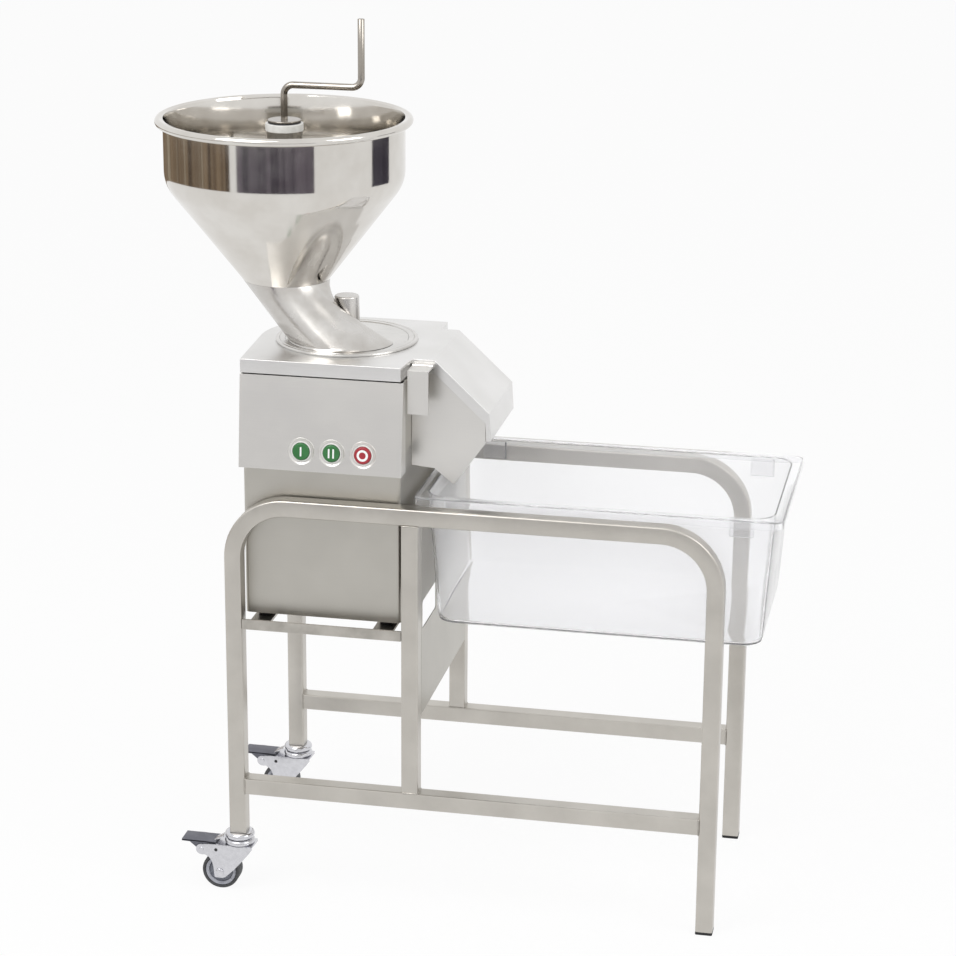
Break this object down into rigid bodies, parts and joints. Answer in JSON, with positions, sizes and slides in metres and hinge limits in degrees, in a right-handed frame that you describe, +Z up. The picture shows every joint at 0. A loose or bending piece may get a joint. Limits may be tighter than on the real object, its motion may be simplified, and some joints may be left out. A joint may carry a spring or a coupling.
{
  "type": "vegetable cutter",
  "caption": "Floor-standing vegetable cutter: motor base with hinged feed head, round hopper with hand-cranked stirrer, discharge hood, and a tube stand on castors with a clear catch pan.",
  "frame": {"origin": "middle of the bounding box's underside, on the floor", "axes": "+X from the castors to the pan end, -Y out of the control panel, +Z up"},
  "size_m": [0.9369, 0.4063, 1.296],
  "materials": {
    "satin_steel": "satin ground stainless tube and bar",
    "casing_steel": "fine brushed stainless sheet",
    "polished_steel": "polished stainless, near mirror",
    "cast_alloy": "machined cast aluminium",
    "zinc": "bright zinc plate on pressed steel",
    "motor_grey": "dark grey paint",
    "black_rubber": "matt black rubber",
    "black_plastic": "matt black nylon",
    "tyre_rubber": "dark grey rubber",
    "hub_plastic": "light grey nylon",
    "pedal_plastic": "mid grey nylon",
    "white_plastic": "white acetal",
    "green_plastic": "green button cap",
    "red_plastic": "red button cap",
    "clear_plastic": "clear polycarbonate"
  },
  "bodies": {
    "stand_and_base": {"side_loop_near": "satin_steel", "low_rail_near": "satin_steel", "mid_post_near": "satin_steel", "seat_rail_near": "satin_steel", "foot_cap_near": "black_rubber", "machine_foot_left_near": "black_rubber", "machine_foot_right_near": "black_rubber", "castor_stem_near": "zinc", "side_loop_far": "satin_steel", "low_rail_far": "satin_steel", "mid_post_far": "satin_steel", "seat_rail_far": "satin_steel", "foot_cap_far": "black_rubber", "machine_foot_left_far": "black_rubber", "machine_foot_right_far": "black_rubber", "castor_stem_far": "zinc", "seat_bar_left": "satin_steel", "seat_bar_right": "satin_steel", "splash_panel": "satin_steel", "motor_housing": "casing_steel", "base_plate": "casing_steel", "motor": "motor_grey", "upper_casing": "casing_steel", "front_panel": "casing_steel", "switch_block": "black_plastic", "cutting_bowl": "cast_alloy", "discharge_chute": "casing_steel", "cable_gland": "black_plastic", "hinge_bracket": "casing_steel"},
    "feed_head": {"lid_cover": "casing_steel", "lid_ring": "polished_steel", "feed_plate": "polished_steel", "centre_boss": "satin_steel", "feed_chute": "polished_steel", "hopper": "polished_steel", "stir_tube": "satin_steel", "upper_bush": "white_plastic", "lower_bush": "white_plastic", "hinge_leaf": "casing_steel"},
    "lock": {"lock_arm": "casing_steel"},
    "crank": {"crank_rod": "satin_steel", "crank_cap": "satin_steel", "stir_finger": "satin_steel"},
    "drive": {"drive_shaft": "cast_alloy", "ejector_disc": "white_plastic", "slicing_disc": "polished_steel", "disc_knob": "white_plastic"},
    "pan": {"catch_pan": "clear_plastic"},
    "start": {"start_button": "green_plastic"},
    "speed": {"speed_button": "green_plastic"},
    "stop": {"stop_button": "red_plastic"},
    "fork_near": {"castor_fork_near": "zinc"},
    "wheel_near": {"castor_hub_near": "hub_plastic", "castor_tyre_near": "tyre_rubber"},
    "pedal_near": {"castor_pedal_near": "pedal_plastic"},
    "fork_far": {"castor_fork_far": "zinc"},
    "wheel_far": {"castor_hub_far": "hub_plastic", "castor_tyre_far": "tyre_rubber"},
    "pedal_far": {"castor_pedal_far": "pedal_plastic"}
  },
  "joints": [
    {"name": "head_hinge", "type": "hinge", "parent": "stand_and_base", "child": "feed_head", "pos_m": [-0.1905, 0.12775, 0.812], "axis": [-1, 0, 0], "range_deg": [0, 85]},
    {"name": "lock_hinge", "type": "hinge", "parent": "feed_head", "child": "lock", "pos_m": [-0.0713, -0.10725, 0.81975], "axis": [-1, 0, 0], "range_deg": [0, 100]},
    {"name": "crank_spin", "type": "hinge", "parent": "feed_head", "child": "crank", "pos_m": [-0.281, -0.01475, 1.198], "axis": [0, 0, 1], "continuous": true},
    {"name": "drive_spin", "type": "hinge", "parent": "stand_and_base", "child": "drive", "pos_m": [-0.1905, -0.01475, 0.742], "axis": [0, 0, 1], "continuous": true},
    {"name": "pan_slide", "type": "slide", "parent": "stand_and_base", "child": "pan", "axis": [1, 0, 0], "range_m": [0, 0.25]},
    {"name": "start_press", "type": "slide", "parent": "stand_and_base", "child": "start", "axis": [0, 0.9939, -0.11], "range_m": [0, 0.0035], "stiffness_N_per_m": 500},
    {"name": "speed_press", "type": "slide", "parent": "stand_and_base", "child": "speed", "axis": [0, 0.9939, -0.11], "range_m": [0, 0.0035], "stiffness_N_per_m": 500},
    {"name": "stop_press", "type": "slide", "parent": "stand_and_base", "child": "stop", "axis": [0, 0.9939, -0.11], "range_m": [0, 0.0035], "stiffness_N_per_m": 500},
    {"name": "swivel_near", "type": "hinge", "parent": "stand_and_base", "child": "fork_near", "pos_m": [-0.326, -0.15825, 0.0834], "axis": [0, 0, 1], "continuous": true},
    {"name": "wheel_spin_near", "type": "hinge", "parent": "fork_near", "child": "wheel_near", "pos_m": [-0.354, -0.15825, 0.0285], "axis": [0, 1, 0], "continuous": true},
    {"name": "brake_near", "type": "hinge", "parent": "fork_near", "child": "pedal_near", "pos_m": [-0.3818, -0.15825, 0.064], "axis": [0, -1, 0], "range_deg": [0, 10]},
    {"name": "swivel_far", "type": "hinge", "parent": "stand_and_base", "child": "fork_far", "pos_m": [-0.326, 0.18175, 0.0834], "axis": [0, 0, 1], "continuous": true},
    {"name": "wheel_spin_far", "type": "hinge", "parent": "fork_far", "child": "wheel_far", "pos_m": [-0.354, 0.18175, 0.0285], "axis": [0, 1, 0], "continuous": true},
    {"name": "brake_far", "type": "hinge", "parent": "fork_far", "child": "pedal_far", "pos_m": [-0.3818, 0.18175, 0.064], "axis": [0, -1, 0], "range_deg": [0, 10]}
  ]
}
